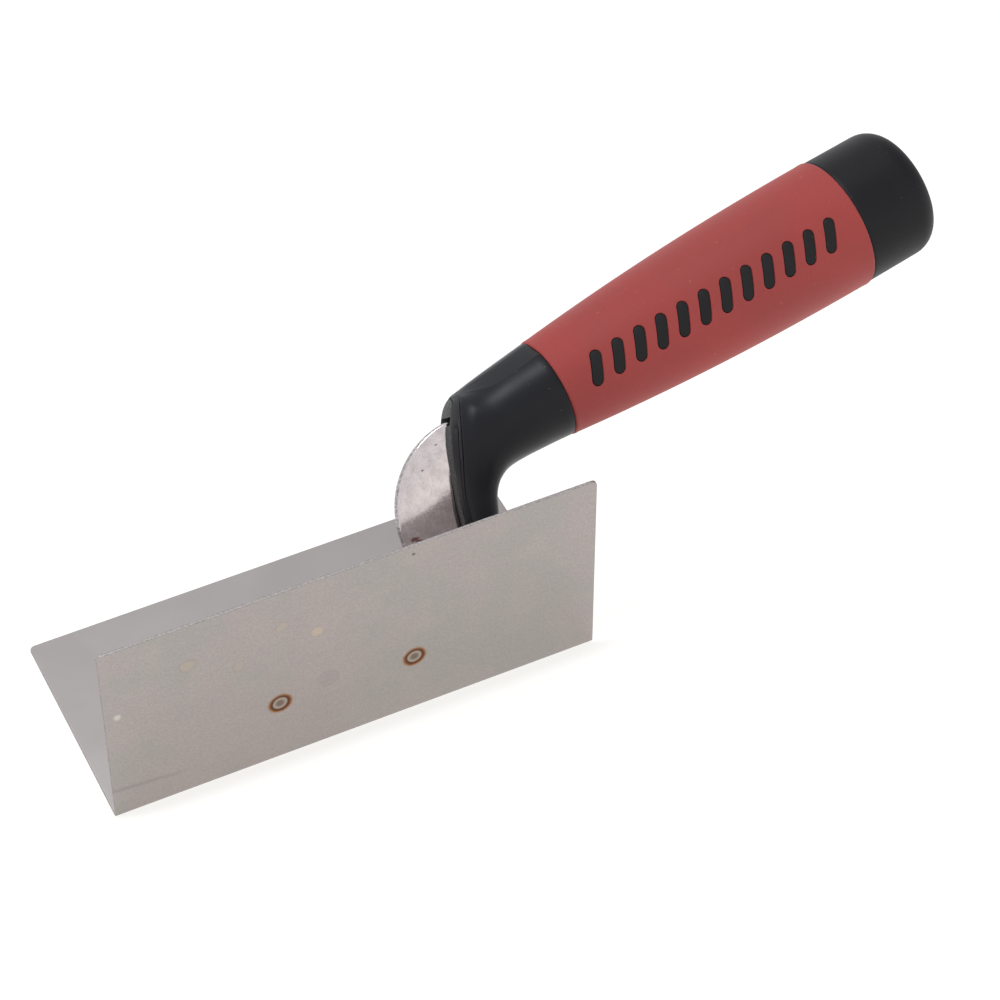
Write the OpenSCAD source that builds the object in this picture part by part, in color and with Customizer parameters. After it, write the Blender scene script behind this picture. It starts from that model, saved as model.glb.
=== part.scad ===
// Inside corner trowel: a bent V blade spot welded to a saddle, a shank plate
// welded into the saddle, and a soft-grip handle moulded over the plate's tang.
// X runs along the corner edge towards the handle, Z up the bisector of the two
// wings. The origin is the middle of the corner edge, on the outside of the bend.

/* [Blade] */
// Length of the corner edge
blade_l = 127; // [115:1:140]
// Width of each wing, from the corner to its free edge
wing_w = 58.5; // [55:0.1:64]
// Thickness of the blade's sheet
blade_t = 0.8; // [0.7:0.1:1]
// Outside radius of the bend along the corner
bend_r = 1.1; // [1.1:0.1:1.5]
// Radius of the wings' four free corners
wing_corner_r = 1.4; // [1:0.1:4]

/* [Saddle and welds] */
// Thickness of the saddle's sheet
saddle_t = 1.5; // [1.2:0.1:1.8]
// Width of each saddle flange, measured like wing_w
saddle_w = 28; // [26:0.5:32]
// Outside radius of the saddle's bend
saddle_bend_r = 2.5; // [2:0.1:3]
// Radius of the saddle's four free corners
saddle_corner_r = 5; // [3:0.5:7]
// Distance of the front spot welds up the wing from the corner
spot_up = 20; // [17:0.1:21]
// How much lower on the wing the rear spot welds are
spot_drop = 0.8; // [0:0.1:2]
// X of the front pair of spot welds
spot_front_x = -20; // [-21:0.1:-18]
// Distance along X between the two pairs of spot welds
spot_pitch = 35.1; // [32:0.1:36]
// Diameter of a spot weld's nugget
spot_d = 4.6; // [4:0.1:5]
// Leg of the fillet welds beside the shank plate
bead_leg = 4; // [3:0.1:5]

/* [Shank plate] */
// Thickness of the shank plate
plate_t = 3.2; // [3:0.1:3.6]
// Radius of the plate's round nose
nose_r = 23.3; // [22.9:0.1:23.7]
// Distance of the nose's centre in front of the blade's heel
nose_back = 15.4; // [15:0.1:16]
// Height of the nose's centre above the corner edge
nose_z = 40.1; // [39.7:0.1:40.5]
// Distance from the blade's heel to the front of the plate's foot
foot_reach = 90; // [88:0.5:91]
// Distance from the blade's heel to the back of the plate's foot
foot_heel = 9.5; // [8:0.5:11]
// Height of the foot ahead of the nose
foot_h = 9; // [8:0.5:10]
// Height of the tang inside the handle
tang_h = 12; // [10:0.5:13]
// Length of the tang beyond the neck
tang_l = 58; // [50:1:64]
// Diameter of the two holes that key the tang into the core
tang_hole_d = 6; // [5:0.5:7]

/* [Neck] */
// Distance from the blade's heel to the neck's front face
neck_front = 24; // [23.6:0.1:24.4]
// Radius of the neck's front face, seen from the side
neck_face_r = 80; // [74:1:86]
// Thickness of the neck's leg at the crook, from front to back
leg_t = 10.3; // [10:0.1:10.7]
// Forward lean of the leg's back, in degrees
leg_lean = 14; // [12:1:16]
// Width of the neck's leg at its foot
leg_w = 18.8; // [18:0.1:19.6]
// Width of the neck where the leg turns into the handle
elbow_w = 22.6; // [22:0.1:23.2]
// Height of the neck's lower end above the corner edge
leg_z = 27; // [26:0.5:28]
// Inside radius of the bend behind the neck
crook_r = 9.4; // [9:0.1:10]
// Width of the core's nose, which shows between the neck's two lips
nose_w = 11.4; // [10.6:0.2:12]

/* [Handle] */
// Distance from the blade's heel back to the joint of neck and grip
grip_x = 9; // [8.6:0.1:9.4]
// Height of the handle's axis at that joint
grip_z = 62.8; // [62.4:0.1:63.2]
// Rise of the handle's axis above the corner edge, in degrees
handle_tilt = 10.4; // [10.1:0.1:10.7]
// Length of the soft grip
grip_l = 88.4; // [86:0.1:90]
// Radius of the grip at the neck
grip_neck_r = 12.9; // [12.6:0.1:13.1]
// Radius of the grip at the cap
grip_cap_r = 17.4; // [17.2:0.1:17.8]
// How soon the grip swells behind the neck
grip_swell = 2.1; // [1.8:0.1:2.4]
// Thickness of the grip over the core
grip_t = 3; // [2.5:0.1:3.5]
// Length of the end cap
cap_l = 22; // [20:0.1:23]
// Rounding of the cap's rim
cap_round = 6.5; // [5:0.5:8]

/* [Grip bars] */
// Number of raised bars along each side of the grip
bar_count = 12; // [8:1:12]
// Distance between neighbouring bars
bar_pitch = 6.3; // [6:0.1:6.5]
// Height of a bar around the grip
bar_h = 9; // [7:0.5:10]
// Width of a bar
bar_w = 3; // [2.4:0.1:3.2]
// Lean of a bar towards the cap, in degrees
bar_lean = 22; // [0:1:25]
// Depth of the bars' tops below the grip's surface
bar_sink = 0.15; // [0.1:0.05:0.3]

/* [Hidden] */
$fn = 72;

STEEL = [0.66, 0.63, 0.61];
PLATE_STEEL = [0.76, 0.72, 0.70];
WELD = [0.50, 0.42, 0.36];
BLACK = [0.13, 0.13, 0.15];
SOFT_BLACK = [0.16, 0.16, 0.18];
RED = [0.66, 0.32, 0.30];

eps = 0.01;
reach = 60;                                // longer than any cut it is used for
heel_x = blade_l / 2;
wing_z = -bend_r * (sqrt(2) - 1);          // where the wings' outer faces would meet

// Sheet stack, measured inwards from a wing's outer face
stack_t = blade_t + saddle_t;
saddle_front = heel_x - foot_reach - 3.5;
saddle_back = heel_x - foot_heel + 3.5;
nugget_in_blade = 0.5;                     // depth of a nugget in the blade
nugget_in_saddle = 0.8;                    // depth of a nugget in the saddle

// Shank plate, in side view
nose_x = heel_x - nose_back;
nose_front = nose_x - nose_r;
foot_front = heel_x - foot_reach;
foot_back = heel_x - foot_heel;
valley_z = wing_z + stack_t * sqrt(2);     // where the saddle's inner faces would meet
foot_z = valley_z + plate_t / 2;           // the plate's lower edge bears on the saddle
shoulder_z = 36;                           // below this the plate flares forwards
flare_r = shoulder_z - foot_z - foot_h;
back_flare_r = 7;
foot_corner_r = 3;
tang_root_u = -22;                         // where the tang leaves the plate
tang_hole_u = [14, 42];                    // places of the key holes along the tang

// Neck
face_x = heel_x - neck_front;
face_z = 35;                               // below this the front face is upright
elbow_u = -17.3;                           // where the straight part of the neck ends
neck_r = 12.8;                             // beside the grip
elbow_r = 11.4;
crown_h = 31.8;                            // crook centre to the top of the elbow
crown_k = 16;                              // sharpness of the crown's front corner
leg_bulge = 3.2;                           // squareness of the leg's section
crook_x = face_x + leg_t + crook_r;
crook_z = grip_z + elbow_u * sin(handle_tilt) - (elbow_r + crook_r) * cos(handle_tilt);
elbow_a = 90 + handle_tilt;                // the elbow fans from this angle
leg_a = 180 - leg_lean;                    // to this one, about the crook's centre

// Core inside the neck
core_neck_r = 9;
nose_top_a = 114;                          // top of the core's nose, as an angle
boot_t = 2.2;                              // boot's thickness behind the core
crown_t = 3.2;                             // boot's thickness over the core
plate_cover = 3.4;                         // boot and core behind the shank plate
slot_gap = 1.5;                            // open slot above the plate's top edge
slot_ease = 0.9;                           // its width beyond each face of the plate

// Handle
cap_r = grip_cap_r - 0.25;
cap_taper = 0.2;
socket_r = 12;                             // cap's socket on the core
socket_l = 12;
lip_r = 0.4;                               // rounding of the grip's two edges
grip_steps = 18;

// ---- helpers ----

function ease(s) = s * s * (3 - 2 * s);
function blend(a, b, s) = a + (b - a) * s;

// Points of an arc about c, from one angle to another.
function arc(c, r, from, to, steps = 12) = [
    for (i = [0 : steps])
        let (a = blend(from, to, i / steps))
        [c[0] + r * cos(a), c[1] + r * sin(a)]
];

// A wing's own plane: x along the corner, y up the wing, z inwards from its face.
module on_wing(side) {
    translate([0, 0, wing_z])
        mirror([0, side < 0 ? 1 : 0, 0])
            rotate([45, 0, 0])
                children();
}

// What rounding a free corner takes off a sheet whose body lies towards dir in x.
module corner_scrap(r, dir) {
    mirror([dir < 0 ? 1 : 0, 0])
        difference() {
            translate([-1, -r])
                square(r + 1);
            translate([r, -r])
                circle(r);
        }
}

// Sheet bent to a right angle, lying a distance inset inside the outer faces.
module bent_sheet(x0, x1, w, t, r, inset, corner) {
    bend = [inset + r, inset + r];
    difference() {
        translate([x0, 0, wing_z])
            rotate([90, 0, 90])
                linear_extrude(x1 - x0)
                    rotate(45)
                        polygon(concat(
                            [[w, inset]], arc(bend, r, 270, 180),
                            [[inset, w], [inset + t, w]], arc(bend, r - t, 180, 270),
                            [[w, inset + t]]
                        ));
        for (side = [-1, 1], end = [[x0, 1], [x1, -1]])
            on_wing(side)
                translate([end[0], w, inset - t])
                    linear_extrude(3 * t)
                        corner_scrap(corner, end[1]);
    }
}

// Places of the four spot welds, on the wings' outer faces.
module at_spots() {
    for (side = [-1, 1], i = [0, 1])
        on_wing(side)
            translate([spot_front_x + i * spot_pitch, spot_up - i * spot_drop, 0])
                children();
}

// Extrudes a side view (X, Z) to thickness t, centred on the middle plane.
module side_plate(t) {
    translate([0, t / 2, 0])
        rotate([90, 0, 0])
            linear_extrude(t)
                children();
}

// The handle's own frame: x along its axis from the joint of neck and grip.
module on_handle() {
    translate([heel_x + grip_x, 0, grip_z])
        rotate([0, -handle_tilt, 0])
            children();
}

// Turned body about the handle's axis, from a profile of [radius, distance].
module turned(profile) {
    on_handle()
        rotate([0, 90, 0])
            rotate_extrude()
                polygon(profile);
}

// ---- shank plate ----

// Plate without its tang: a foot along the valley, a web that flares out of it
// and rises through the neck, and a round nose in front of the neck.
module plate_body() {
    foot_top = foot_z + foot_h;
    web_back = leg_back(leg_z, plate_cover);
    front_round = [foot_front + foot_corner_r, foot_top - foot_corner_r];
    back_round = [foot_back - foot_corner_r, foot_top - foot_corner_r];
    polygon(concat(
        [[foot_front, foot_z], [foot_back, foot_z]],
        arc(back_round, foot_corner_r, 0, 90, 6),
        arc([web_back + back_flare_r, foot_top + back_flare_r], back_flare_r, 270, 180),
        [[web_back, leg_z]],
        arc([crook_x, crook_z], crook_r + plate_cover, leg_a, elbow_a),
        arc([nose_x, nose_z], nose_r, 90, 180, 30),
        arc([nose_front - flare_r, shoulder_z], flare_r, 0, -90, 20),
        arc(front_round, foot_corner_r, 90, 180, 6)
    ));
}

// Tang, in the handle's frame.
module tang_outline() {
    difference() {
        union() {
            translate([tang_root_u, -tang_h / 2])
                square([tang_l - tang_root_u - tang_h / 2, tang_h]);
            translate([tang_l - tang_h / 2, 0])
                circle(tang_h / 2);
        }
        for (u = tang_hole_u)
            translate([u, 0])
                circle(tang_hole_d / 2);
    }
}

module plate_outline() {
    plate_body();
    translate([heel_x + grip_x, grip_z])
        rotate(handle_tilt)
            tang_outline();
}

// ---- neck ----

// Front face of the neck in side view, at height z.
function face_front(z) =
    face_x + neck_face_r - sqrt(pow(neck_face_r, 2) - pow(max(0, z - face_z), 2));

// Back of the leg in side view, at height z, or a distance inset inside it.
function leg_back(z, inset = 0) =
    crook_x - (crook_r + inset) / cos(leg_lean) - (crook_z - z) * tan(leg_lean);

// Point at angle a and distance r from the crook's centre, in side view.
function from_crook(a, r) = [crook_x + r * cos(a), crook_z + r * sin(a)];

// Distance from the crook's centre out to the neck's front face.
function face_reach(a) =
    let (dx = crook_x - face_x - neck_face_r, dz = crook_z - face_z,
         along = dx * cos(a) + dz * sin(a))
    -along + sqrt(along * along - dx * dx - dz * dz + neck_face_r * neck_face_r);

function crown_reach(a) = crown_h / cos(a - elbow_a);

// The crown and the front face run into each other with a soft corner.
function outer_reach(a) =
    pow(pow(face_reach(a), -crown_k) + pow(crown_reach(a), -crown_k), -1 / crown_k);

// Side view of the core inside the neck: buried behind the crown, and open to
// the front below it. The front edge stands a distance grow outside the neck's.
module core_nose_outline(grow) {
    leg_top = from_crook(leg_a, outer_reach(leg_a))[1];
    root_a = elbow_a - 3;
    polygon(concat(
        [from_crook(root_a, crown_h - crown_t), from_crook(nose_top_a, crown_h - crown_t)],
        [for (i = [0 : 12])
            let (a = blend(nose_top_a, leg_a, i / 12))
            from_crook(a, outer_reach(a) + grow)],
        [for (i = [1 : 6])
            let (z = blend(leg_top, leg_z, i / 6))
            [face_front(z) - grow, z]],
        [[leg_back(leg_z, boot_t), leg_z]],
        arc([crook_x, crook_z], crook_r + boot_t, leg_a, root_a, 8)
    ));
}

// One point of a rounded-rectangle ring: half sizes h and b, squareness n.
function bulge(c, n) = sign(c) * pow(abs(c), 2 / n);

// Ring of the neck: centre [x, z], outward direction at angle a in side view.
function ring(c, a, h, b, n, count = 36) = [
    for (i = [0 : count - 1])
        let (t = 360 * (i + 0.5) / count,
             out = h * bulge(cos(t), n),
             wide = b * bulge(sin(t), n))
        [c[0] + out * cos(a), wide, c[1] + out * sin(a)]
];

// Straight part, from the grip to the elbow.
function neck_ring(s) =
    let (u = elbow_u * s, h = blend(neck_r, (crown_h - crook_r) / 2, s),
         r = blend(neck_r, elbow_w / 2, s), lift = h - blend(neck_r, elbow_r, s))
    ring([heel_x + grip_x + u * cos(handle_tilt) - lift * sin(handle_tilt),
          grip_z + u * sin(handle_tilt) + lift * cos(handle_tilt)],
         90 + handle_tilt, h, r, 2);

// Ring that spans the neck from a back point to a front point in side view.
function span_ring(back, front, b, n) =
    let (d = front - back)
    ring((front + back) / 2, atan2(d[1], d[0]), norm(d) / 2, b, n);

// Elbow, fanned about the crook's centre.
function elbow_ring(s) =
    let (a = blend(elbow_a, leg_a, s))
    span_ring(from_crook(a, crook_r), from_crook(a, outer_reach(a)),
              blend(elbow_w, leg_w, ease(s)) / 2, blend(2, leg_bulge, ease(min(1, 2.4 * s))));

// Leg, down into the V of the blade.
function leg_ring(s) =
    let (z0 = from_crook(leg_a, crook_r)[1], z1 = from_crook(leg_a, outer_reach(leg_a))[1],
         z_back = blend(z0, leg_z, s), z_front = blend(z1, leg_z, s))
    span_ring([leg_back(z_back), z_back], [face_front(z_front), z_front], leg_w / 2,
              leg_bulge);

neck_rings = concat(
    [for (i = [0 : 3]) neck_ring(i / 4)],
    [for (i = [0 : 14]) elbow_ring(i / 14)],
    [for (i = [1 : 4]) leg_ring(i / 4)]
);

// Closed skin through a list of rings.
module skin(rings) {
    m = len(rings[0]);
    last = len(rings) - 1;
    polyhedron(
        [for (r = rings) each r],
        concat(
            [[for (i = [0 : m - 1]) i]],
            [for (k = [0 : last - 1], i = [0 : m - 1])
                let (j = (i + 1) % m)
                [k * m + j, k * m + i, (k + 1) * m + i, (k + 1) * m + j]],
            [[for (i = [m - 1 : -1 : 0]) last * m + i]]
        ),
        convexity = 6
    );
}

// ---- handle profiles ----

function grip_r(u) =
    grip_cap_r - (grip_cap_r - grip_neck_r) * pow(1 - u / grip_l, grip_swell);

function grip_line(inset) = [
    for (i = [0 : grip_steps])
        let (u = grip_l * i / grip_steps)
        [grip_r(u) - inset, u]
];

function arc_line(r0, u0, r) = [
    for (a = [0 : 10 : 90])
        [r0 + r * cos(a), u0 + r * sin(a)]
];

// Row of slanted bars, in the plane of the handle's axis and height.
module bar_row() {
    for (i = [0 : bar_count - 1])
        translate([grip_l / 2 + (i - (bar_count - 1) / 2) * bar_pitch, 0])
            rotate(-bar_lean) {
                square([bar_w, bar_h - bar_w], center = true);
                for (end = [-1, 1])
                    translate([0, end * (bar_h - bar_w) / 2])
                        circle(bar_w / 2, $fn = 24);
            }
}

module bar_prisms() {
    on_handle()
        rotate([90, 0, 0])
            linear_extrude(reach, center = true)
                bar_row();
}

// ---- parts ----

module blade() {
    color(STEEL)
        difference() {
            bent_sheet(-heel_x, heel_x, wing_w, blade_t, bend_r, 0, wing_corner_r);
            at_spots()
                translate([0, 0, blade_t - nugget_in_blade])
                    cylinder(h = nugget_in_blade + eps, d = spot_d);
        }
}

module saddle() {
    color(PLATE_STEEL)
        difference() {
            bent_sheet(saddle_front, saddle_back, saddle_w, saddle_t, saddle_bend_r,
                       blade_t, saddle_corner_r);
            at_spots()
                translate([0, 0, blade_t - eps])
                    cylinder(h = nugget_in_saddle + eps, d = spot_d);
        }
}

module spot_welds() {
    color(WELD)
        at_spots()
            translate([0, 0, blade_t - nugget_in_blade])
                cylinder(h = nugget_in_blade + nugget_in_saddle, d = spot_d);
}

module shank_plate() {
    color(PLATE_STEEL)
        side_plate(plate_t)
            plate_outline();
}

// Fillets in the two wedges between the plate's foot and the saddle's flanges.
module weld_beads() {
    color(WELD)
        for (side = [-1, 1])
            mirror([0, side < 0 ? 1 : 0, 0])
                translate([foot_front + foot_corner_r, plate_t / 2, foot_z])
                    rotate([90, 0, 90])
                        linear_extrude(foot_back - foot_front - 2 * foot_corner_r)
                            intersection() {
                                circle(bead_leg);
                                polygon([[0, 0], [bead_leg, bead_leg], [0, 2 * bead_leg]]);
                            }
}

module handle_core() {
    color(BLACK)
        difference() {
            union() {
                side_plate(nose_w)
                    core_nose_outline(0);
                turned([[0, elbow_u], [core_neck_r, elbow_u], [core_neck_r, 0],
                        each grip_line(grip_t),
                        [socket_r, grip_l], [socket_r, grip_l + socket_l],
                        [0, grip_l + socket_l]]);
                intersection() {
                    bar_prisms();
                    turned([[core_neck_r - 2, 1], each grip_line(bar_sink),
                            [core_neck_r - 2, grip_l - 1]]);
                }
            }
            side_plate(plate_t)
                plate_outline();
            side_plate(plate_t + 2 * slot_ease)
                intersection() {
                    translate([nose_x, nose_z + slot_gap])
                        circle(nose_r);
                    translate([nose_x - reach, nose_z + nose_r - 2 * slot_gap])
                        square(reach);
                }
        }
}

module neck_boot() {
    color(SOFT_BLACK)
        difference() {
            skin(neck_rings);
            side_plate(nose_w)
                core_nose_outline(10);
            turned([[0, elbow_u], [core_neck_r, elbow_u], [core_neck_r, 1], [0, 1]]);
        }
}

module grip_sleeve() {
    color(RED)
        difference() {
            turned([[grip_r(0) - grip_t, 0], [grip_r(0) - lip_r, 0],
                    [grip_r(0), lip_r], each [for (p = grip_line(0)) if (p[1] > lip_r
                        && p[1] < grip_l - lip_r) p],
                    [grip_r(grip_l), grip_l - lip_r], [grip_r(grip_l) - lip_r, grip_l],
                    each [for (i = [grip_steps : -1 : 1]) grip_line(grip_t)[i]]]);
            bar_prisms();
        }
}

module end_cap() {
    tip = grip_l + cap_l;
    color(SOFT_BLACK)
        turned([[socket_r, grip_l], [cap_r, grip_l],
                each arc_line(cap_r - cap_taper - cap_round, tip - cap_round, cap_round),
                [0, tip], [0, grip_l + socket_l], [socket_r, grip_l + socket_l]]);
}

blade();
saddle();
spot_welds();
shank_plate();
weld_beads();
handle_core();
neck_boot();
grip_sleeve();
end_cap();
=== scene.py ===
"""Inside corner trowel: the looks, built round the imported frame.

Geometry is worked out in millimetres in the frame's own axes and scaled once, when a
mesh is made. X runs along the corner edge towards the handle's butt, Z up the bisector
of the two wings.
"""

import math

import bmesh
import bpy
import numpy as np
from mathutils import Matrix, Vector
from mathutils.geometry import tessellate_polygon


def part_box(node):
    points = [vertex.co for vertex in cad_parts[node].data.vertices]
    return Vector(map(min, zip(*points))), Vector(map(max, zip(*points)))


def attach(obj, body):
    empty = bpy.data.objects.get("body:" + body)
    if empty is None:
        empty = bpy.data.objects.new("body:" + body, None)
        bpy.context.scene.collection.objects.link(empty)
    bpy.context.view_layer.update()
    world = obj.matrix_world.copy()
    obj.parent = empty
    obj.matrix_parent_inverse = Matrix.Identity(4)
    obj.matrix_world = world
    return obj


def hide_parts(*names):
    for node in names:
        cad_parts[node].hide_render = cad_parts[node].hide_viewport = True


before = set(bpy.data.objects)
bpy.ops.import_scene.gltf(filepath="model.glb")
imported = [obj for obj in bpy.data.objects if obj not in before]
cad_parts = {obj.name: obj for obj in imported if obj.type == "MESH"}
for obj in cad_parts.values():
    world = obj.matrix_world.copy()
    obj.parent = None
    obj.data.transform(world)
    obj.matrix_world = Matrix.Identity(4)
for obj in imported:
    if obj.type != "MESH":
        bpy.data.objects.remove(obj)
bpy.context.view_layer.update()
rng = np.random.default_rng(7)

MM = 0.001
ROOT2 = math.sqrt(2)


def frame_box(node):
    """A CAD node's lowest and highest corners, in millimetres."""
    lo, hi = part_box(node)
    return lo / MM, hi / MM


# ---- sizes, read off the frame or kept from the part's design ----

blade_hi = frame_box("blade")[1]
saddle_lo, saddle_hi = frame_box("saddle")
plate_lo, plate_hi = frame_box("shank_plate")
bead_lo, bead_hi = frame_box("weld_beads")

HEEL_X = blade_hi.x
WING_W = blade_hi.y * ROOT2
BLADE_T = 0.8
BEND_R = 1.1
WING_CORNER_R = 1.4
BLADE_EDGE = 0.14
WING_Z = -BEND_R * (ROOT2 - 1)

SADDLE_T = 1.5
SADDLE_W = saddle_hi.y * ROOT2 + BLADE_T
SADDLE_BEND_R = 2.5
SADDLE_CORNER_R = 5
SADDLE_EDGE = 0.25
STACK_T = BLADE_T + SADDLE_T

# Weld spots on each wing: X, height up the wing
SPOTS = [(-20.0, 20.0), (15.1, 19.2)]
SPOT_R = 4

PLATE_T = plate_hi.y - plate_lo.y
NOSE_R = 23.3
NOSE_X = HEEL_X - 15.4
NOSE_Z = 40.1
FOOT_H = 9
FOOT_Z = plate_lo.z
FOOT_CORNER_R = 3
FOOT_CUT = 0.8
FOOT_SHORT = 9.5
SHOULDER_Z = 36
BACK_FLARE_R = 7
PLATE_COVER = 3.4
TANG_H = 12
TANG_L = 58
TANG_ROOT_U = -22
TANG_HOLES_U = [14, 42]
TANG_HOLE_R = 3

BEAD_R = 4
BEAD_PITCH = 1.55
BEAD_STEP = 0.16
BEAD_END = 2.6
BEAD_DRIFT = 0.035
BEAD_STARTS = 400

FACE_X = HEEL_X - 24
FACE_Z = 35
FACE_R = 80
LEG_T = 10.3
LEG_LEAN = math.radians(14)
LEG_W = 18.8
LEG_Z = 27
LEG_SQUARE = 3.2
ELBOW_W = 22.6
ELBOW_R = 11.4
ELBOW_U = -17.3
CROOK_R = 9.4
CROWN_H = 31.8
CROWN_K = 16
NECK_R = 12.8
CORE_NECK_R = 9

TILT = math.radians(10.4)
GRIP_X = HEEL_X + 9
GRIP_Z = 62.8
GRIP_L = 88.4
GRIP_NECK_R = 12.9
GRIP_CAP_R = 17.4
GRIP_SWELL = 2.1
GRIP_T = 3
CAP_L = 22
CAP_ROUND = 6.5
CAP_R = GRIP_CAP_R - 0.25
SOCKET_R = 12
SOCKET_L = 12

BAR_COUNT = 12
BAR_PITCH = 6.3
BAR_H = 9
BAR_W = 3
BAR_LEAN = math.radians(22)
BAR_SINK = 0.15
BAR_POINTS = 44

CROOK_X = FACE_X + LEG_T + CROOK_R
CROOK_Z = GRIP_Z + ELBOW_U * math.sin(TILT) - (ELBOW_R + CROOK_R) * math.cos(TILT)
ELBOW_A = math.pi / 2 + TILT
LEG_A = math.pi - LEG_LEAN

# The neck's front: a channel that holds the core's nose, with a lip along each side
NECK_STATIONS = 19
RING_STEPS = 26
PARTING_Y = 5.1
GROOVE_SHARE = 0.85
CREASE_Y = 8.9
CHANNEL_DEPTH = 4
FRONT_FLAT_Y = 1.6
PARTING_APEX = math.radians(111.3)
PARTING_FULL = math.radians(122)
CREASE_APEX = math.radians(107.3)
CREASE_FULL = math.radians(126)
FRONT_SWELL = 0.5
FRONT_PULL = 1.1
NOSE_GAP = 0.38
NOSE_TIP_GAP = 0.16
NOSE_ROUGH = 0.05
SLOT_GAP = 1.0
SLOT_EASE = 1.9
SLOT_DEPTH = 1.9


# ---- small helpers ----


def blend(a, b, s):
    return a + (b - a) * s


def ease(s):
    s = min(max(s, 0.0), 1.0)
    return s * s * (3 - 2 * s)


def eased(a, start, end):
    """Smooth rise from 0 to 1 as angle a goes from start to end, those two in degrees."""
    return ease((math.degrees(a) - start) / (end - start))


def bump_at(x, centre, width):
    return math.exp(-(((x - centre) / width) ** 2))


def arc(centre, r, start, end, count):
    """Points of an arc in the X-Z plane, with its angles in degrees."""
    angles = np.radians(np.linspace(start, end, count + 1))
    return [(centre[0] + r * math.cos(a), centre[1] + r * math.sin(a)) for a in angles]


def on_handle(u, y, w):
    """A point in the handle's frame: u along its axis, w across it and up."""
    return (
        GRIP_X + u * math.cos(TILT) - w * math.sin(TILT),
        y,
        GRIP_Z + u * math.sin(TILT) + w * math.cos(TILT),
    )


def on_wing(side, x, v, n):
    """A point in a wing's frame: v up the wing from the corner, n inwards from its face."""
    return (x, side * (v - n) / ROOT2, WING_Z + (v + n) / ROOT2)


def spread(lo, hi, step, spots=(), reach=4.0, fine=0.25, edge=(0.25, 0.9)):
    """Grid lines from lo to hi, close together at both ends and around each spot."""
    stops = [lo, hi, *(lo + e for e in edge), *(hi - e for e in edge)]
    for s in spots:
        stops += [max(lo, s - reach), min(hi, s + reach)]
    stops = sorted(stops)
    stops = [a for a, b in zip(stops, stops[1:] + [math.inf]) if b - a > 0.05]
    lines = []
    for a, b in zip(stops[:-1], stops[1:]):
        near = any(abs((a + b) / 2 - s) < reach for s in spots)
        count = max(1, round((b - a) / (fine if near else step)))
        lines += [blend(a, b, i / count) for i in range(count)]
    return lines + [hi]


def grid(rows, cols, wrap=False):
    """Quads over rows of points, rows * cols in all; wrap joins each row's ends."""
    quads = []
    for r in range(rows - 1):
        for c in range(cols if wrap else cols - 1):
            a, b = r * cols + c, r * cols + (c + 1) % cols
            quads.append((a, b, b + cols, a + cols))
    return quads


def closed_rings(rings):
    """Points and faces of a solid skinned through rings, with both ends capped."""
    n = len(rings[0])
    points = [p for r in rings for p in r]
    faces = grid(len(rings), n, wrap=True)
    faces.append(tuple(range(n)))
    faces.append(tuple(range(len(points) - n, len(points))))
    return points, faces


def joined(*solids):
    """Several lists of points and faces as one."""
    points, faces = [], []
    for p, f in solids:
        base = len(points)
        points += list(p)
        faces += [tuple(i + base for i in face) for face in f]
    return points, faces


def mesh_from(name, points, faces, sharp=38):
    """A closed mesh with its doubles merged and its normals facing out."""
    me = bpy.data.meshes.new(name)
    me.from_pydata([tuple(c * MM for c in p) for p in points], [], faces)
    bm = bmesh.new()
    bm.from_mesh(me)
    bmesh.ops.remove_doubles(bm, verts=bm.verts, dist=2e-6)
    bmesh.ops.dissolve_degenerate(bm, edges=bm.edges, dist=1e-7)
    bmesh.ops.recalc_face_normals(bm, faces=bm.faces)
    bm.to_mesh(me)
    bm.free()
    finish_shading(me, sharp)
    return me


def finish_shading(me, sharp):
    me.polygons.foreach_set("use_smooth", [True] * len(me.polygons))
    me.set_sharp_from_angle(angle=math.radians(sharp))
    me.update()


def linked(name, data):
    """A new object in the scene."""
    ob = bpy.data.objects.new(name, data)
    bpy.context.scene.collection.objects.link(ob)
    return ob


def place(name, mesh, node, slot, material):
    """Adds a piece that stands for a CAD node."""
    ob = linked(name, mesh)
    mesh.materials.clear()
    mesh.materials.append(material)
    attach(ob, "root")
    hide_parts(node)


def cut(mesh, cutters):
    """The mesh with the cutters' meshes taken away."""
    body = linked("cut_body", mesh)
    tools = [linked("cut_tool", c) for c in cutters]
    for tool in tools:
        mod = body.modifiers.new("cut", "BOOLEAN")
        mod.operation = "DIFFERENCE"
        mod.solver = "EXACT"
        mod.object = tool
    dg = bpy.context.evaluated_depsgraph_get()
    made = bpy.data.meshes.new_from_object(body.evaluated_get(dg))
    for o in [body, *tools]:
        bpy.data.objects.remove(o)
    return made


def slab(loops, rim):
    """Points and faces of a flat plate in the X-Z plane.

    The first loop is its outline, anticlockwise in X-Z, and the others are holes,
    clockwise. rim lists (y, inset) from one face, round the edge, to the other.
    """
    points, faces, first, last = [], [], [], []
    for loop in loops:
        n = len(loop)
        p = np.array(loop, float)
        before, after = p - np.roll(p, 1, 0), np.roll(p, -1, 0) - p
        before /= np.linalg.norm(before, axis=1)[:, None]
        after /= np.linalg.norm(after, axis=1)[:, None]
        mean = before + after
        mean /= np.linalg.norm(mean, axis=1)[:, None]
        out = np.stack([mean[:, 1], -mean[:, 0]], 1)
        half = np.clip((mean * after).sum(1), 0.5, 1)
        base = len(points)
        for y, inset in rim:
            q = p - out * (inset / half)[:, None]
            points += [(a, y, b) for a, b in q]
        faces += [tuple(i + base for i in f) for f in grid(len(rim), n, wrap=True)]
        first.append([base + i for i in range(n)])
        last.append([base + (len(rim) - 1) * n + i for i in range(n)])
    for ends in (first, last):
        flat = [[Vector((points[i][0], points[i][2], 0)) for i in loop] for loop in ends]
        index = [i for loop in ends for i in loop]
        faces += [tuple(index[i] for i in t) for t in tessellate_polygon(flat)]
    return points, faces


# ---- bent sheets ----


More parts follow.
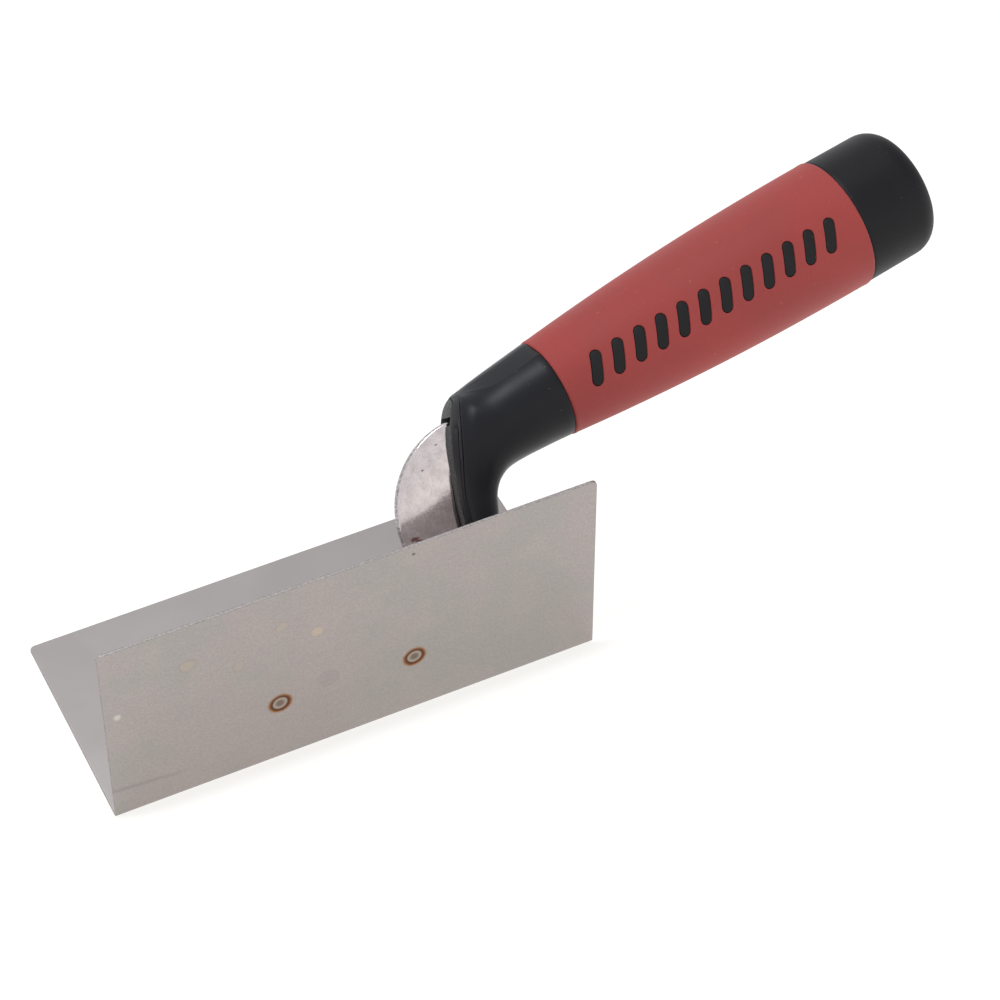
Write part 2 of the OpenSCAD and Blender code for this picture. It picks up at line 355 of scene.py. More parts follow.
def bent_sheet(x0, x1, w, t, r, inset, corner, edge, dent, inner):
    """Points and faces of a sheet bent to a right angle, with rounded edges.

    Its grid is laid out on both faces inside a margin, and the rim runs round the
    margin from one face to the other. dent(x, v) sinks the face that shows weld marks.
    """
    rc = corner - edge
    cols = spread(x0 + edge, x1 - edge, 3.2, [x for x, up in SPOTS])
    turn = np.radians(range(0, 90, 15)).tolist()
    down = [(w - edge - rc * (1 - math.cos(a)), rc * (1 - math.sin(a)), a) for a in turn]
    wing_rows = spread(inset + r, w - edge - rc, 3.2, [up for x, up in SPOTS], edge=(0.5,))
    down += [(v, 0.0, math.pi / 2) for v in wing_rows[::-1]]
    stations = [("wing", 1, v, i, a) for v, i, a in down]
    bend = np.radians(np.linspace(262, 188, 9))
    stations += [("bend", 0, a, 0.0, math.pi / 2) for a in bend]
    stations += [("wing", -1, v, i, a) for v, i, a in reversed(down)]

    def at(station, x, dv, n):
        kind, side, v = station[:3]
        if kind == "wing":
            return on_wing(side, x, v + dv, inset + n)
        c = inset + r
        p = c + (r - n) * math.cos(v)
        q = c + (r - n) * math.sin(v)
        return (x, (p - q) / ROOT2, WING_Z + (p + q) / ROOT2)

    def column(station, k):
        """Place of grid line k at a station, drawn in where the corner is round."""
        lo, hi = cols[0] + station[3], cols[-1] - station[3]
        return blend(lo, hi, (cols[k] - cols[0]) / (cols[-1] - cols[0]))

    points = []
    count = len(cols)
    for face_n in (0.0, t):
        for st in stations:
            for k in range(count):
                x = column(st, k)
                sink = 0.0
                if st[0] == "wing" and (face_n > 0) == inner:
                    sink = dent(x, st[2])
                points.append(at(st, x, 0.0, face_n - sink if inner else face_n + sink))
    size = len(stations) * count
    faces = grid(len(stations), count)
    faces += [tuple(i + size for i in f) for f in grid(len(stations), count)]

    last = len(stations) - 1
    loop = [(s, 0) for s in range(last)]
    loop += [(last, k) for k in range(count - 1)]
    loop += [(s, count - 1) for s in range(last, 0, -1)]
    loop += [(0, k) for k in range(count - 1, 0, -1)]
    rim = [(edge * (1 - math.cos(a)), edge * math.sin(a)) for a in np.radians([30, 60, 90])]
    profile = rim + [(t - n, out) for n, out in reversed(rim)]
    rows = [[s * count + k for s, k in loop]]
    for n, out in profile:
        base = len(points)
        for s, k in loop:
            st = stations[s]
            along, up = -math.sin(st[4]), math.cos(st[4])
            if 0 < k < count - 1:
                along, up = 0.0, 1.0
            if k == count - 1:
                along = -along
            points.append(at(st, column(st, k) + out * along, out * up, n))
        rows.append(list(range(base, base + len(loop))))
    rows.append([size + s * count + k for s, k in loop])
    for a, b in zip(rows[:-1], rows[1:]):
        for i in range(len(loop)):
            j = (i + 1) % len(loop)
            faces.append((a[i], a[j], b[j], b[i]))
    return points, faces


def weld_dent(x, v, depth=1.0):
    """Depth of an electrode's print: a shallow cup inside a ring, with a faint raised rim."""
    sink = 0.0
    for spot_x, spot_up in SPOTS:
        rho = math.hypot(x - spot_x, v - spot_up)
        if rho < SPOT_R:
            cup = 0.05 * ease((2.5 - rho) / 0.8)
            ring = 0.06 * bump_at(rho, 2.25, 0.22) + 0.03 * bump_at(rho, 1.45, 0.18)
            sink += depth * (cup + ring - 0.025 * bump_at(rho, 2.95, 0.3))
    return sink


def make_blade():
    sizes = (-HEEL_X, HEEL_X, WING_W, BLADE_T, BEND_R, 0, WING_CORNER_R, BLADE_EDGE)
    return mesh_from("blade_sheet", *bent_sheet(*sizes, weld_dent, False))


def make_saddle():
    sizes = (saddle_lo.x, saddle_hi.x, SADDLE_W, SADDLE_T, SADDLE_BEND_R, BLADE_T)
    sizes += (SADDLE_CORNER_R, SADDLE_EDGE)
    sheet = bent_sheet(*sizes, lambda x, v: weld_dent(x, v, 1.6), True)
    return mesh_from("saddle_sheet", *sheet)


# ---- shank plate ----


def leg_back(z, inset=0.0):
    """X of the back of the neck's leg at height z."""
    lean = math.tan(LEG_LEAN)
    return CROOK_X - (CROOK_R + inset) / math.cos(LEG_LEAN) - (CROOK_Z - z) * lean


def plate_outline():
    """Foot, web, nose and tang in one anticlockwise loop."""
    foot_front, foot_back = plate_lo.x, HEEL_X - FOOT_SHORT
    foot_top = FOOT_Z + FOOT_H
    flare_r = SHOULDER_Z - foot_top
    nose_front = NOSE_X - NOSE_R
    web_back = leg_back(LEG_Z, PLATE_COVER)
    pts = [(foot_front + FOOT_CUT, FOOT_Z), (foot_back - FOOT_CUT, FOOT_Z)]
    pts.append((foot_back, FOOT_Z + FOOT_CUT))
    pts += arc((foot_back - FOOT_CORNER_R, foot_top - FOOT_CORNER_R), FOOT_CORNER_R, 0, 90, 8)
    pts += arc((web_back + BACK_FLARE_R, foot_top + BACK_FLARE_R), BACK_FLARE_R, 270, 180, 14)
    pts.append((web_back, LEG_Z))
    half, end = TANG_H / 2, TANG_L - TANG_H / 2
    tang = [on_handle(u, 0, -half) for u in (TANG_ROOT_U + 9, end)]
    root = math.degrees(math.atan2(tang[0][2] - CROOK_Z, tang[0][0] - CROOK_X))
    pts += arc((CROOK_X, CROOK_Z), CROOK_R + PLATE_COVER, math.degrees(LEG_A), root, 14)
    tang = tang[1:]
    for a in np.radians(np.linspace(-80, 80, 15)):
        tang.append(on_handle(end + half * math.cos(a), 0, half * math.sin(a)))
    tang += [on_handle(end, 0, half), on_handle(TANG_ROOT_U + 14, 0, half)]
    pts += [(p[0], p[2]) for p in tang]
    pts += arc((NOSE_X, NOSE_Z), NOSE_R, 84, 180, 72)
    pts += arc((nose_front - flare_r, SHOULDER_Z), flare_r, 0, -90, 26)[1:]
    pts += arc((foot_front + FOOT_CORNER_R, foot_top - FOOT_CORNER_R), FOOT_CORNER_R, 90, 180, 8)
    pts.append((foot_front, FOOT_Z + FOOT_CUT))
    return pts


def plate_holes():
    holes = []
    for u in TANG_HOLES_U:
        c = on_handle(u, 0, 0)
        holes.append(arc((c[0], c[2]), TANG_HOLE_R, 360, 0, 32)[:-1])
    return holes


def make_plate():
    """Stamped plate: a rolled edge on one face, a burnished band, then a rougher break."""
    h = PLATE_T / 2
    rim = [(-h, 0.34), (-h + 0.05, 0.16), (-h + 0.17, 0.04), (-h + 0.38, 0.0), (-h + 0.95, 0.0)]
    rim += [(-h + 1.02, 0.07), (-h + 1.12, 0.07), (-h + 1.2, 0.03), (0.6, 0.05), (h - 0.3, 0.06)]
    rim += [(h - 0.08, 0.12), (h, 0.26)]
    return mesh_from("plate_body", *slab([plate_outline(), *plate_holes()], rim), 30)


def make_beads():
    """Two fillet welds, laid as overlapping crescents along the plate's foot."""
    x0, x1 = bead_lo.x, bead_hi.x
    solids = []
    for side in (-1, 1):
        drift = rng.normal(0, BEAD_DRIFT, BEAD_STARTS)
        rings = []
        for x in np.arange(x0, x1 + 0.01, BEAD_STEP):
            end = min(x - x0, x1 - x)
            close = math.sqrt(max(0.02, 1 - (1 - min(end / BEAD_END, 1)) ** 2))
            ring = [on_bead(side, x, 0.0, 45)]
            for a in np.linspace(45, 90, 10):
                across = (a - 67.5) / 22.5
                phase = (x - x0 + 0.62 * (1 - across * across) + 0.1 * side) / BEAD_PITCH
                height = 0.995
                if phase >= 0:
                    k = int(phase)
                    fall = 0.1 * (phase - k) ** 1.6 + 0.05 * across * across
                    height = min(height, 0.985 - fall + drift[k])
                ring.append(on_bead(side, x, BEAD_R * height * close, a))
            rings.append(ring)
        solids.append(closed_rings(rings))
    return mesh_from("weld_ripples", *joined(*solids), 60)


def on_bead(side, x, reach, angle):
    """A point in a bead's frame, whose centre is the corner of plate and saddle."""
    a = math.radians(angle)
    return (x, side * (PLATE_T / 2 + reach * math.cos(a)), FOOT_Z + reach * math.sin(a))


# ---- neck ----


def face_front(z):
    """X of the front of the neck's leg at height z."""
    return FACE_X + FACE_R - math.sqrt(FACE_R**2 - max(0, z - FACE_Z) ** 2)


def from_crook(a, r):
    return (CROOK_X + r * math.cos(a), CROOK_Z + r * math.sin(a))


def outer_reach(a):
    """Distance from the crook's centre to the crown or front face, softly joined."""
    dx, dz = CROOK_X - FACE_X - FACE_R, CROOK_Z - FACE_Z
    along = dx * math.cos(a) + dz * math.sin(a)
    face = -along + math.sqrt(along * along - dx * dx - dz * dz + FACE_R**2)
    crown = CROWN_H / math.cos(a - ELBOW_A)
    return (face**-CROWN_K + crown**-CROWN_K) ** (-1 / CROWN_K)


class Section:
    """A cross-section of the neck: a rounded rectangle across the line back to front."""

    def __init__(self, back, front, half_width, square, angle, shrink=0.0):
        self.centre = ((back[0] + front[0]) / 2, (back[1] + front[1]) / 2)
        dx, dz = front[0] - back[0], front[1] - back[1]
        size = math.hypot(dx, dz)
        self.out = (dx / size, dz / size)
        self.h = size / 2 - shrink
        self.b = half_width - shrink
        self.n = square
        self.angle = angle

    def front_at(self, y):
        return self.h * max(0.0, 1 - (abs(y) / self.b) ** self.n) ** (1 / self.n)

    def normal_at(self, out, y):
        a = (abs(out) / self.h) ** (self.n - 1) / self.h * math.copysign(1, out)
        b = (abs(y) / self.b) ** (self.n - 1) / self.b
        size = math.hypot(a, b) or 1.0
        return a / size, b / size

    def point(self, out, y):
        return (self.centre[0] + out * self.out[0], y, self.centre[1] + out * self.out[1])


def neck_sections():
    """The neck's sections from the grip's end, round the elbow and down the leg."""
    sections = []
    for u in (0.0, -0.12, -0.4, *np.linspace(-2, ELBOW_U, 17)[:-1]):
        s = u / ELBOW_U
        h = blend(NECK_R, (CROWN_H - CROOK_R) / 2, s)
        lift = h - blend(NECK_R, ELBOW_R, s)
        lower, upper = on_handle(u, 0, lift - h), on_handle(u, 0, lift + h)
        half = blend(NECK_R, ELBOW_W / 2, s)
        shrink = 0.28 if u == 0 else 0.1 if u > -0.2 else 0.0
        back, front = (lower[0], lower[2]), (upper[0], upper[2])
        sections.append(Section(back, front, half, 2, ELBOW_A, shrink))
    for s in np.linspace(0, 1, 61):
        a = blend(ELBOW_A, LEG_A, s)
        half = blend(ELBOW_W, LEG_W, ease(s)) / 2
        square = blend(2, LEG_SQUARE, ease(min(1, 2.4 * s)))
        back, front = from_crook(a, CROOK_R), from_crook(a, outer_reach(a))
        sections.append(Section(back, front, half, square, a))
    z0 = from_crook(LEG_A, CROOK_R)[1]
    z1 = from_crook(LEG_A, outer_reach(LEG_A))[1]
    for s, shrink in [(i / 14, 0) for i in range(1, 14)] + [(0.975, 0), (0.993, 0.2), (1, 0.6)]:
        low, high = blend(z0, LEG_Z, s), blend(z1, LEG_Z, s)
        back, front = (leg_back(low), low), (face_front(high), high)
        sections.append(Section(back, front, LEG_W / 2, LEG_SQUARE, LEG_A + 0.5 * s, shrink))
    return sections


def arched(a, apex, full):
    """Share of its whole width that a line down the neck's front has at angle a."""
    if a >= full:
        return 1.0
    if a >= apex:
        return math.sqrt(max(0.0, 1 - ((full - a) / (full - apex)) ** 2))
    return 0.0


def front_lines(section):
    """Half widths, on the neck's front, of the core's strip and of the whole front band.

    Both close in an arch below the crown. Above it they only place grid lines, which
    open out again along the neck.
    """
    a = section.angle
    narrow = 1 - 0.22 * eased(a, 130, 164)
    crease = CREASE_Y * narrow * arched(a, CREASE_APEX, CREASE_FULL)
    parting = PARTING_Y * narrow * arched(a, PARTING_APEX, PARTING_FULL)
    if a < CREASE_APEX:
        crease = CREASE_Y * ease((CREASE_APEX - a) / (CREASE_APEX - ELBOW_A + 0.02))
    crease = max(crease, 1.2)
    if a < PARTING_APEX:
        parting = crease * PARTING_Y / CREASE_Y
    return max(min(parting, 0.5 * crease), 0.3), crease


def pulled_back(section, out):
    """Takes the front of the neck's lower end back a little; its back stays."""
    return out - FRONT_PULL * eased(section.angle, 124, 158) * max(0.0, out / section.h)


def front_point(section, crease, y, depth=0.0, sink=0.0):
    """(out, y) on the neck's front: flat beside the middle, sloped back to the crease."""
    round_out = section.front_at(y)
    out = round_out
    if y < crease:
        flat = min(FRONT_FLAT_Y, 0.5 * crease)
        t = max(0.0, (y - flat) / (crease - flat))
        sloped = blend(section.h, section.front_at(crease), t**1.08)
        out = blend(round_out, sloped, ease((crease - 2) / 3))
        out += FRONT_SWELL * eased(section.angle, 109, 117) * (1 - (y / crease) ** 2)
    no, ny = section.normal_at(round_out, y)
    return (pulled_back(section, out) - depth - sink * no, y - sink * ny)


def edge_point(section, y, sink):
    """(out, y) on a section's rounded front, sunk by sink."""
    out = section.front_at(y)
    no, ny = section.normal_at(out, y)
    return (pulled_back(section, out) - sink * no, y - sink * ny)


def mirrored(section, half):
    """A whole ring from the (out, y) points of its right half, middle to middle."""
    right = [section.point(o, y) for o, y in half]
    return right + [section.point(o, -y) for o, y in half[-2:0:-1]]


def boot_ring(section):
    """Ring of the boot, with its channel, its two lips and the grooves beside them."""
    parting, crease = front_lines(section)
    is_open = section.angle >= PARTING_APEX
    low = eased(section.angle, 119, 125)
    sharp = ease((section.angle - CREASE_APEX) / math.radians(7))
    groove = crease * GROOVE_SHARE
    # Channel: share of the strip's width where it is closed, where it is open, and depth
    channel = [(0, 0, 1), (0.3, 0.4, 1), (0.55, 0.8, 1), (0.75, 1, 1), (0.9, 1, 0.16)]
    marks = [
        (parting * (inside if is_open else plain), CHANNEL_DEPTH * deep if is_open else 0, 0)
        for plain, inside, deep in channel
    ]
    rounding = 0.3 if is_open else 0.0
    marks += [(parting + 0.04, 0.5 * rounding, 0), (parting + 0.2, 0.12 * rounding, 0)]
    marks.append((parting + 0.42, 0, 0))
    for off, sink in [(-0.26, 0.0), (-0.12, 0.26), (0.06, 0.26), (0.2, -0.03)]:
        marks.append((max(groove + off, marks[-1][0] + 0.02), 0, sink * low))
    half = [front_point(section, crease, *mark) for mark in marks]
    first = max(half[-1][1], groove + 0.2)
    outer = [(0.5, -0.06 * low), (0.8, -0.03 * low), (0.93, 0.02), (0.975, 0.26), (1.0, 0.3)]
    for share, sink in outer:
        half.append(front_point(section, crease, blend(first, crease, share), 0, sink * sharp))
    half.append(edge_point(section, crease + 0.16, 0.04 * sharp))
    start = math.asin(min(1.0, ((crease + 0.16) / section.b) ** (section.n / 2)))
    for k in range(1, RING_STEPS + 1):
        t = blend(start, math.pi, k / RING_STEPS)
        c, s = math.cos(t), math.sin(t)
        out = section.h * math.copysign(abs(c) ** (2 / section.n), c)
        half.append((pulled_back(section, out), section.b * max(0.0, s) ** (2 / section.n)))
    return mirrored(section, half)


def eased_rings(rings):
    """Rings evened out where the neck's straight part runs into the elbow.

    The inside of the bend is evened out over a longer stretch than the outside.
    """
    p = np.array(rings)
    count = p.shape[1]
    back = np.abs(np.arange(count) - count / 2) / (count / 2)
    inside = np.clip((0.45 - back) / 0.2, 0, 1)[None, :, None]
    for before, after, rounds, weight in ((8, 8, 40, 1.0), (12, 34, 260, inside)):
        lo, hi = NECK_STATIONS - before, NECK_STATIONS + after
        for _ in range(rounds):
            mean = (p[lo - 1 : hi - 1] + 2 * p[lo:hi] + p[lo + 1 : hi + 1]) / 4
            p[lo:hi] += (mean - p[lo:hi]) * weight
    return p.tolist()


def make_boot():
    rings = [boot_ring(s) for s in neck_sections()]
    points, faces = closed_rings(eased_rings(rings))
    return mesh_from("boot_skin", points, faces, 50)


def nose_solid():
    """The core's nose: the rough strip of hard plastic held between the boot's lips."""
    rings = []
    deep = CHANNEL_DEPTH - 0.3
    lumps = rng.normal(0, 1, (400, 6))
    first = PARTING_APEX - math.radians(4.5)
    # Share of the strip's width, depth
    front = [(0.0, 0.03), (0.2, 0.03), (0.4, 0.03), (0.6, 0.04), (0.76, 0.06), (0.86, 0.1)]
    front += [(0.95, 0.2), (1.0, 0.7), (1.0, deep), (0.5, deep), (0.0, deep)]
    for i, s in enumerate(s for s in neck_sections() if s.angle >= first):
        parting, crease = front_lines(s)
        wide = parting - (NOSE_GAP if s.angle >= PARTING_APEX else NOSE_TIP_GAP)
        fade = NOSE_ROUGH * (0.6 if i % 2 else 1)
        half = []
        for j, (share, depth) in enumerate(front):
            rough = fade * lumps[i // 2, j] if 0 < j < 6 else 0.0
            half.append(front_point(s, crease, share * wide, depth + rough))
        rings.append(mirrored(s, half))
    return closed_rings(rings)


def slot_cutter():
    """Cuts the open slot above the plate's top edge."""
    y = PLATE_T / 2 + SLOT_EASE
    centre = (NOSE_X, NOSE_Z + SLOT_GAP)
    start = 88
    end = 96 + math.degrees(math.acos((NOSE_R - 3 * SLOT_GAP) / NOSE_R))
    loop = arc(centre, NOSE_R, start, end, 24)
    loop += arc(centre, NOSE_R - SLOT_DEPTH, end, start, 24)
    return slab([loop], [(-y, 0), (y, 0)])


def plate_cutter():
    """Makes room in the core's nose for the shank plate."""
    y = PLATE_T / 2 + 0.03
    loop = [(NOSE_X + 6, 10), (NOSE_X + 6, NOSE_Z + NOSE_R - 0.7)]
    loop += arc((NOSE_X, NOSE_Z), NOSE_R + 0.05, 80, 180, 48)
    loop.append((NOSE_X - NOSE_R - 0.05, 10))
    return slab([loop], [(-y, 0), (y, 0)])


# ---- handle ----


def grip_radius(u):
    u = min(max(u, 0.0), GRIP_L)
    return GRIP_CAP_R - (GRIP_CAP_R - GRIP_NECK_R) * (1 - u / GRIP_L) ** GRIP_SWELL


def grip_skin(u):
    """Radius of the sleeve's outside: rounded at both ends, with a slight bead there."""
    end = min(u, GRIP_L - u)
    lip = 0.4
    drop = lip - math.sqrt(lip**2 - (lip - end) ** 2) if end < lip else 0.0
    return grip_radius(u) - drop + 0.09 * bump_at(end, 0.75, 0.4)


def turned(profile, count=96):
    """Points and faces of a solid turned about the handle's axis: (radius, u) profile."""
    points = [
        on_handle(u, r * math.cos(a), r * math.sin(a))
        for r, u in profile
        for a in np.linspace(0, 2 * math.pi, count, endpoint=False)
    ]
    return points, grid(len(profile), count, wrap=True)


def bar_point(share, r):
    """Point at a share of the way round a bar's outline, r from its middle line.

    It starts at the middle of the bar's top end, and gives (u, w) from its centre.
    """
    straight, cap = BAR_H - BAR_W, math.pi * BAR_W / 2
    total = 2 * (straight + cap)
    s = (share % 1.0) * total
    if s < cap / 2 or s >= total - cap / 2:
        a = math.pi / 2 - ((s + cap / 2) % total - cap / 2) / (BAR_W / 2)
        x, y = r * math.cos(a), straight / 2 + r * math.sin(a)
    elif s < cap / 2 + straight:
        x, y = r, straight / 2 - (s - cap / 2)
    elif s < 1.5 * cap + straight:
        a = -(s - cap / 2 - straight) / (BAR_W / 2)
        x, y = r * math.cos(a), -straight / 2 + r * math.sin(a)
    else:
        x, y = -r, -straight / 2 + (s - 1.5 * cap - straight)
    c, n = math.cos(BAR_LEAN), math.sin(BAR_LEAN)
    return (x * c + y * n, -x * n + y * c)


def bar_centre(i):
    """Place of a bar's middle along the handle."""
    return GRIP_L / 2 + (i - (BAR_COUNT - 1) / 2) * BAR_PITCH


def on_side(side, u, w, r):
    """A point on the handle's side at radius r and height w."""
    return on_handle(u, side * math.sqrt(r * r - w * w), w)


class Sleeve:
    """Soft sleeve with a row of bar-shaped windows along each side.

    Each side has a band, half_band either way from the axis, tiled by one slanted cell
    per bar. The rest goes over the top and under the bottom between the two bands.
    """

    half_band = 6.2
    cell_top = 6
    cell_side = 12
    over_steps = 18
    plain_end = 1.6

    def __init__(self):
        self.points, self.faces = [], []
        self.lean = math.tan(BAR_LEAN) * self.half_band
        self.first = bar_centre(0) - BAR_PITCH / 2
        self.last = bar_centre(BAR_COUNT - 1) + BAR_PITCH / 2
        self.heights = np.linspace(self.half_band, -self.half_band, self.cell_side + 1)

    def patch(self, rows, wrap=False):
        base = len(self.points)
        self.points += [p for row in rows for p in row]
        made = grid(len(rows), len(rows[0]), wrap)
        self.faces += [tuple(i + base for i in f) for f in made]

    def radius(self, u, inner):
        return grip_radius(u) - GRIP_T if inner else grip_skin(u)

    def end_lines(self):
        """(place at mid height, slant) of the grid lines between an end and the bars."""
        near = [0, 0.04, 0.13, 0.26, 0.4, 0.6, 0.8, 1.1, self.plain_end]
        start = [(e, 0.0) for e in near]
        for f in (0.33, 0.67, 1):
            start.append((blend(self.plain_end, self.first, f), self.lean * f))
        finish = []
        for f in (0, 0.33, 0.67):
            mid = blend(self.last, GRIP_L - self.plain_end, f)
            finish.append((mid, self.lean * (1 - f)))
        finish += [(GRIP_L - e, 0.0) for e in reversed(near)]
        return start, finish

    def build(self):
        start, finish = self.end_lines()
        for inner in (False, True):
            for side in (-1, 1):
                for lines in (start, finish):
                    self.patch([self.band_row(side, lines, w, inner) for w in self.heights])
                for i in range(BAR_COUNT):
                    self.cell(side, bar_centre(i), inner)
            self.over(start, finish, inner, 1)
            self.over(start, finish, inner, -1)
        for u in (0.0, GRIP_L):
            self.end_ring(u)
        return self.points, self.faces

    def band_row(self, side, lines, w, inner):
        """Points at height w of a side band's grid lines."""
        row = []
        for mid, slant in lines:
            u = mid + slant * w / self.half_band
            row.append(on_side(side, u, w, self.radius(u, inner)))
        return row

    def cell_edge(self, centre):
        """The slanted cell's outline as (share of the way round, u, w)."""
        w0, p = self.half_band, BAR_PITCH / 2
        n, m = self.cell_top, self.cell_side
        pts = [(p * k / (n / 2), w0) for k in range(n // 2)]
        pts += [(p, w0 - 2 * w0 * k / m) for k in range(m)]
        pts += [(p - 2 * p * k / n, -w0) for k in range(n)]
        pts += [(-p, -w0 + 2 * w0 * k / m) for k in range(m)]
        pts += [(-p + p * k / (n / 2), w0) for k in range(n // 2)]
        total = 4 * (w0 + p)
        made, gone = [], 0.0
        for k, (a, w) in enumerate(pts):
            made.append((gone / total, centre + a + self.lean * w / w0, w))
            b = pts[(k + 1) % len(pts)]
            gone += math.hypot(b[0] - a, b[1] - w)
        return made

    def cell(self, side, centre, inner):
        """One bar's window and the skin round it, out to the cell's edge."""
        edge = self.cell_edge(centre)
        r = BAR_W / 2

        def between(f, grow, drop=0.0, skin=inner):
            row = []
            for share, eu, ew in edge:
                du, w = bar_point(share, r + grow)
                u, w = blend(centre + du, eu, f), blend(w, ew, f)
                row.append(on_side(side, u, w, self.radius(u, skin) - drop))
            return row

        if inner:
            rows = [between(f, 0) for f in (0, 0.5, 1)]
        else:
            rows = [between(0, 0, 0, True), between(0, 0, 0.4), between(0, 0.05, 0.14)]
            rows += [between(0, 0.16, 0.03), between(0, 0.32)]
            rows += [between(f, 0.32) for f in (0.35, 0.7, 1)]
        self.patch(rows, wrap=True)

    def over(self, start, finish, inner, up):
        """The part over the top, or under the bottom, between the two side bands."""
        lines = list(start)
        step = BAR_PITCH / self.cell_top
        for i in range(BAR_COUNT):
            left = bar_centre(i) - BAR_PITCH / 2
            lines += [(left + step * k, self.lean) for k in range(1, self.cell_top + 1)]
        lines += finish[1:]
        rows = []
        for f in np.linspace(0, 1, self.over_steps + 1).tolist():
            fade = (2 * f - 1) ** 2
            row = []
            for mid, slant in lines:
                at_edge = self.radius(mid + up * slant, inner)
                low = math.asin(self.half_band / at_edge)
                a = blend(low, math.pi - low, f)
                u = mid + up * slant * fade
                r = self.radius(u, inner)
                row.append(on_handle(u, r * math.cos(a), up * r * math.sin(a)))
            rows.append(row)
        self.patch(rows)

    def end_ring(self, u):
        """The flat end between the inner and outer skins."""
        rings = []
        for r in (self.radius(u, False), self.radius(u, True)):
            low = math.asin(self.half_band / r)
            round_top = np.linspace(low, math.pi - low, self.over_steps + 1)[:-1]
            ring = [on_side(1, u, w, r) for w in self.heights[:-1]]
            ring += [on_handle(u, r * math.cos(a), -r * math.sin(a)) for a in round_top]
            ring += [on_side(-1, u, w, r) for w in self.heights[:0:-1]]
            ring += [on_handle(u, -r * math.cos(a), r * math.sin(a)) for a in round_top]
            rings.append(ring)
        self.patch(rings, wrap=True)


def make_sleeve():
    return mesh_from("sleeve_skin", *Sleeve().build(), 42)


def bar_solids():
    """Raised bars of the core, which fill the sleeve's windows with a hairline gap."""
    # Growth of a bar's outline and depth under the grip's surface, from the foot up
    levels = [(-0.07, GRIP_T + 0.3), (-0.07, 0.5), (-0.11, 0.27), (-0.2, BAR_SINK + 0.03)]
    levels += [(-0.42, BAR_SINK - 0.03), (-0.95, BAR_SINK - 0.06), (-1.5, BAR_SINK - 0.06)]
    solids = []
    for side in (-1, 1):
        for i in range(BAR_COUNT):
            rings = []
            for grow, drop in levels:
                ring = []
                for k in range(BAR_POINTS):
                    du, w = bar_point(k / BAR_POINTS, BAR_W / 2 + grow)
                    u = bar_centre(i) + du
                    ring.append(on_side(side, u, w, grip_radius(u) - drop))
                rings.append(ring)
            points, faces = closed_rings(rings)
            solids.append((points, faces[:-1]))  # the bars stay open inside the core
    return joined(*solids)


def core_body():
    """The turned core inside the sleeve, with the spigot that holds the cap."""
    profile = [(0, ELBOW_U), (CORE_NECK_R, ELBOW_U), (CORE_NECK_R, 0.02)]
    profile += [(grip_radius(u) - GRIP_T - 0.01, u) for u in np.linspace(0.02, GRIP_L, 30)]
    profile += [(SOCKET_R, GRIP_L), (SOCKET_R - 0.02, GRIP_L + SOCKET_L - 0.5)]
    profile += [(SOCKET_R - 0.5, GRIP_L + SOCKET_L - 0.02), (0, GRIP_L + SOCKET_L - 0.02)]
    return turned(profile, 72)


def make_core():
    nose = mesh_from("nose_strip", *nose_solid(), 40)
    tools = [mesh_from("tool", *slot_cutter()), mesh_from("tool", *plate_cutter())]
    nose = cut(nose, tools)
    rest = mesh_from("core_body", *joined(core_body(), bar_solids()), 40)
    bm = bmesh.new()
    bm.from_mesh(rest)
    bm.from_mesh(nose)
    made = bpy.data.meshes.new("core")
    bm.to_mesh(made)
    bm.free()
    finish_shading(made, 40)
    return made


def make_cap():
    """Butt cap: a crisp front edge, a plain skirt and a generous rounded rim."""
    tip = GRIP_L + CAP_L
    side = CAP_R - 0.1
    profile = [(0, GRIP_L + SOCKET_L), (SOCKET_R + 0.02, GRIP_L + SOCKET_L)]
    profile += [(SOCKET_R + 0.02, GRIP_L + 0.04), (CAP_R - 0.45, GRIP_L + 0.04)]
    profile += [(CAP_R - 0.16, GRIP_L + 0.12), (CAP_R, GRIP_L + 0.42)]
    for f in np.linspace(0, 1, 9).tolist():
        profile.append((blend(CAP_R, side, f), blend(GRIP_L + 1, tip - CAP_ROUND, f)))
    profile += arc((side - CAP_ROUND, tip - CAP_ROUND), CAP_ROUND, 7.5, 90, 11)
    profile += [(r, tip - 0.012 * (10 - r)) for r in (9, 7.5, 5)]
    profile += [(2.0, tip - 0.1), (1.7, tip - 0.13), (1.5, tip - 0.3), (0, tip - 0.32)]
    return mesh_from("cap_body", *turned(profile, 120), 30)


# ---- materials ----


def set_inputs(node, **values):
    """Sets a node's unlinked inputs, named with _ for a space."""
    for key, value in values.items():
        node.inputs[key.replace("_", " ")].default_value = value


def scaled(values, k):
    """A colour or a place times k, which is one number or one for each part."""
    return tuple(np.multiply(values, k).tolist())


